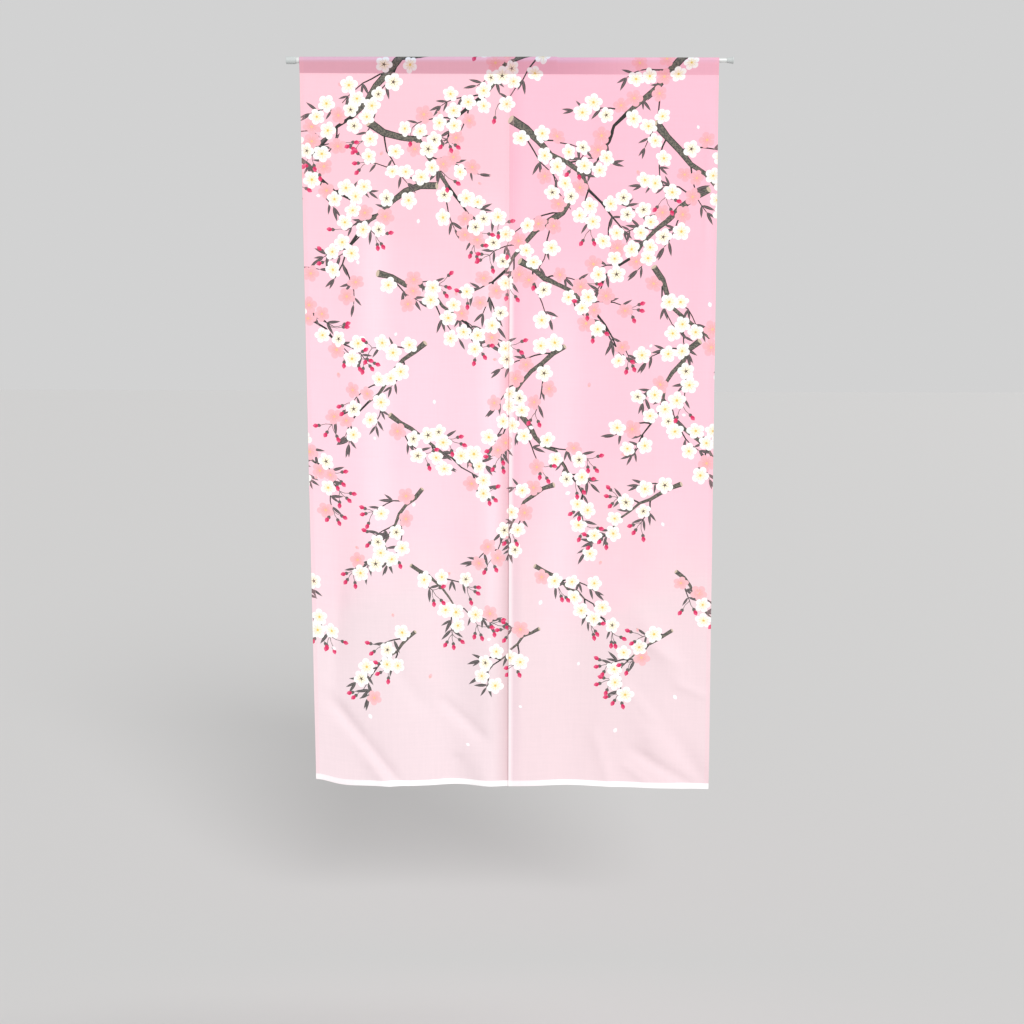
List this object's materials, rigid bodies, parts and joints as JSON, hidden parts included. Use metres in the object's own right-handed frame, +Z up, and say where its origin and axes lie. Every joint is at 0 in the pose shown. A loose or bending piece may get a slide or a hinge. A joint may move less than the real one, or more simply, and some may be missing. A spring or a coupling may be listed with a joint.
{
  "type": "noren curtain on tension rod",
  "caption": "Split noren doorway curtain of sheer pink blossom-print cloth, hung by its sleeve on a telescoping tension rod.",
  "frame": {"origin": "centre of the left foot's end face, where the rod presses on the wall of a doorway", "axes": "+X along the rod to the right foot, +Z up, -Y the front of the curtain"},
  "size_m": [0.906, 0.0264, 1.5032],
  "materials": {
    "cloth": "sheer plain-woven polyester, pink fading to near white at the hem, with a blossom print",
    "rod_tube": "glossy white lacquer on thin steel tube",
    "rod_foot": "pale grey soft rubber"
  },
  "bodies": {
    "root": {"panel_left": "cloth", "panel_right": "cloth", "rod_outer_tube": "rod_tube", "rod_inner_tube": "rod_tube", "foot_left": "rod_foot", "foot_right": "rod_foot"}
  },
  "joints": []
}
